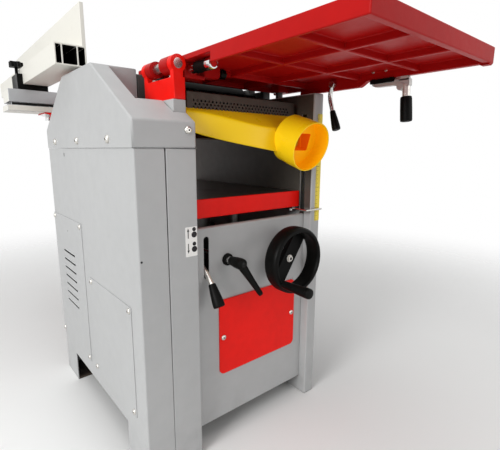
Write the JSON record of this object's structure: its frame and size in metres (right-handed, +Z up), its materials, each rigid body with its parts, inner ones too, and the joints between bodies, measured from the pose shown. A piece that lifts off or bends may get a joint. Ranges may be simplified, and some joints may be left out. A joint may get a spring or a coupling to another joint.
{
  "type": "combination planer thicknesser",
  "caption": "Floor-standing planer thicknesser: folded stand, lifting planing tables, cutter block, rising thicknesser table, dust outlet and sliding fence.",
  "frame": {"origin": "centre of the four floor bolts, on the floor", "axes": "+Z up, +Y along the thicknesser's feed, away from the handwheel, +X towards the operator's side, away from the drive"},
  "size_m": [0.596, 1.337, 0.94],
  "materials": {
    "grey_paint": "satin powder coat",
    "dark_sheet": "dark paint",
    "red_paint": "satin red paint",
    "red_casting": "red paint, ground top",
    "scale_yellow": "printed strip",
    "yellow_plastic": "moulded",
    "bright_steel": "turned",
    "cast_iron": "machined",
    "brass": "cut gear",
    "black_plastic": "moulded",
    "belt_rubber": "matt",
    "fence_aluminium": "painted extrusion",
    "green_plastic": "moulded",
    "red_plastic": "moulded"
  },
  "bodies": {
    "stand": {"base_pan": "dark_sheet", "floor_feet": "dark_sheet", "left_frame": "grey_paint", "right_frame": "grey_paint", "drive_cabinet": "grey_paint", "drive_cover": "grey_paint", "front_panel": "grey_paint", "rear_panel": "grey_paint", "inspection_plate": "red_paint", "side_panels": "grey_paint", "depth_scale": "scale_yellow", "case_screws": "bright_steel", "hinge_brackets": "red_paint", "fixed_shafts": "bright_steel", "head_blocks": "cast_iron", "bearings": "bright_steel", "table_rests": "dark_sheet", "chip_guard": "dark_sheet", "dust_chute": "yellow_plastic", "motor": "dark_sheet", "drive_belt": "belt_rubber", "feed_chain": "bright_steel", "feed_gearbox": "dark_sheet", "lift_bridge": "cast_iron", "gear_bracket": "cast_iron", "switch_box": "dark_sheet", "fence_bracket": "red_paint", "fence_rail": "fence_aluminium"},
    "start": {"start_button": "green_plastic"},
    "stop": {"stop_button": "red_plastic"},
    "cutter": {"cutter_block": "bright_steel", "planer_knives": "bright_steel", "knife_gibs": "bright_steel", "cutter_pulley": "cast_iron"},
    "motor_shaft": {"motor_pulley": "cast_iron"},
    "front_roll": {"front_roller": "bright_steel"},
    "rear_roll": {"rear_roller": "bright_steel"},
    "fingers": {"kickback_fingers": "cast_iron"},
    "lift_table": {"thicknesser_table": "red_casting", "guide_post": "bright_steel", "lift_screw": "bright_steel", "depth_pointer": "bright_steel"},
    "gear": {"bevel_gear": "brass"},
    "wheel": {"handwheel": "black_plastic", "handwheel_shaft": "bright_steel"},
    "crank": {"crank_handle": "black_plastic"},
    "lock": {"lock_lever": "black_plastic"},
    "feed": {"feed_lever": "bright_steel", "feed_grip": "black_plastic"},
    "outfeed": {"outfeed_table": "red_casting"},
    "infeed": {"infeed_table": "red_casting"},
    "outfeed_clamp": {"outfeed_clamp_rod": "bright_steel", "outfeed_clamp_grip": "black_plastic"},
    "infeed_clamp": {"infeed_clamp_lever": "bright_steel"},
    "swing": {"swing_lever": "bright_steel", "swing_grip": "black_plastic"},
    "latch": {"latch_handle": "black_plastic"},
    "fence_slide": {"fence_foot": "black_plastic"},
    "knob": {"fence_knob": "black_plastic"},
    "fence": {"fence_beam": "fence_aluminium"}
  },
  "joints": [
    {"name": "outfeed_lift", "type": "hinge", "parent": "stand", "child": "outfeed", "pos_m": [-0.131, -0.183, 0.79], "axis": [0, -1, 0], "range_deg": [0, 90]},
    {"name": "infeed_lift", "type": "hinge", "parent": "stand", "child": "infeed", "pos_m": [-0.131, 0.183, 0.79], "axis": [0, -1, 0], "range_deg": [0, 90]},
    {"name": "cutter_spin", "type": "hinge", "parent": "stand", "child": "cutter", "pos_m": [0.044, 0, 0.773], "axis": [1, 0, 0], "continuous": true},
    {"name": "motor_spin", "type": "hinge", "parent": "stand", "child": "motor_shaft", "pos_m": [-0.15, 0.17, 0.173], "axis": [1, 0, 0], "continuous": true},
    {"name": "front_roll_spin", "type": "hinge", "parent": "stand", "child": "front_roll", "pos_m": [0.044, -0.062, 0.759], "axis": [1, 0, 0], "continuous": true},
    {"name": "rear_roll_spin", "type": "hinge", "parent": "stand", "child": "rear_roll", "pos_m": [0.044, 0.062, 0.759], "axis": [1, 0, 0], "continuous": true},
    {"name": "finger_swing", "type": "hinge", "parent": "stand", "child": "fingers", "pos_m": [0.044, -0.1315, 0.757], "axis": [1, 0, 0], "range_deg": [0, 60]},
    {"name": "wheel_turn", "type": "hinge", "parent": "stand", "child": "wheel", "pos_m": [0.103, -0.32, 0.4], "axis": [0, 1, 0], "range_deg": [-576, 4680]},
    {"name": "table_height", "type": "slide", "parent": "stand", "child": "lift_table", "axis": [0, 0, 1], "range_m": [-0.008, 0.065]},
    {"name": "gear_turn", "type": "hinge", "parent": "stand", "child": "gear", "pos_m": [0.103, -0.1, 0.37], "axis": [0, 0, 1], "range_deg": [-576, 4680]},
    {"name": "crank_spin", "type": "hinge", "parent": "wheel", "child": "crank", "pos_m": [0.05359, -0.37, 0.35854], "axis": [0, 1, 0], "continuous": true},
    {"name": "lock_turn", "type": "hinge", "parent": "stand", "child": "lock", "pos_m": [-0.032, -0.29, 0.411], "axis": [0, 1, 0], "range_deg": [0, 60]},
    {"name": "feed_engage", "type": "hinge", "parent": "stand", "child": "feed", "pos_m": [-0.084, -0.1515, 0.426], "axis": [-1, 0, 0], "range_deg": [0, 35]},
    {"name": "outfeed_clamp_turn", "type": "hinge", "parent": "outfeed", "child": "outfeed_clamp", "pos_m": [0.232, -0.3015, 0.786], "axis": [-1, 0, 0], "range_deg": [0, 40]},
    {"name": "infeed_clamp_turn", "type": "hinge", "parent": "infeed", "child": "infeed_clamp", "pos_m": [0.232, 0.3015, 0.786], "axis": [1, 0, 0], "range_deg": [0, 40]},
    {"name": "swing_turn", "type": "hinge", "parent": "outfeed", "child": "swing", "pos_m": [0.244, -0.43, 0.7755], "axis": [0, -1, 0], "range_deg": [0, 90]},
    {"name": "latch_pull", "type": "slide", "parent": "outfeed", "child": "latch", "axis": [0, -1, 0], "range_m": [0, 0.012], "stiffness_N_per_m": 400},
    {"name": "fence_across", "type": "slide", "parent": "stand", "child": "fence_slide", "axis": [-1, 0, 0], "range_m": [-0.09, 0]},
    {"name": "fence_knob_turn", "type": "hinge", "parent": "fence_slide", "child": "knob", "pos_m": [-0.276, 0.3775, 0.85], "axis": [0, 0, 1], "range_deg": [0, 360]},
    {"name": "fence_along", "type": "slide", "parent": "fence_slide", "child": "fence", "axis": [0, 1, 0], "range_m": [-0.25, 0]},
    {"name": "start_press", "type": "slide", "parent": "stand", "child": "start", "axis": [-1, 0, 0], "range_m": [0, 0.004], "stiffness_N_per_m": 500},
    {"name": "stop_press", "type": "slide", "parent": "stand", "child": "stop", "axis": [-1, 0, 0], "range_m": [0, 0.004], "stiffness_N_per_m": 500}
  ],
  "couplings": [
    {"joint": "motor_spin", "follows": "cutter_spin", "ratio": 0.47619},
    {"joint": "rear_roll_spin", "follows": "front_roll_spin", "ratio": 1},
    {"joint": "wheel_turn", "follows": "table_height", "rad_per_m": 1256.6},
    {"joint": "gear_turn", "follows": "table_height", "rad_per_m": 1256.6}
  ]
}
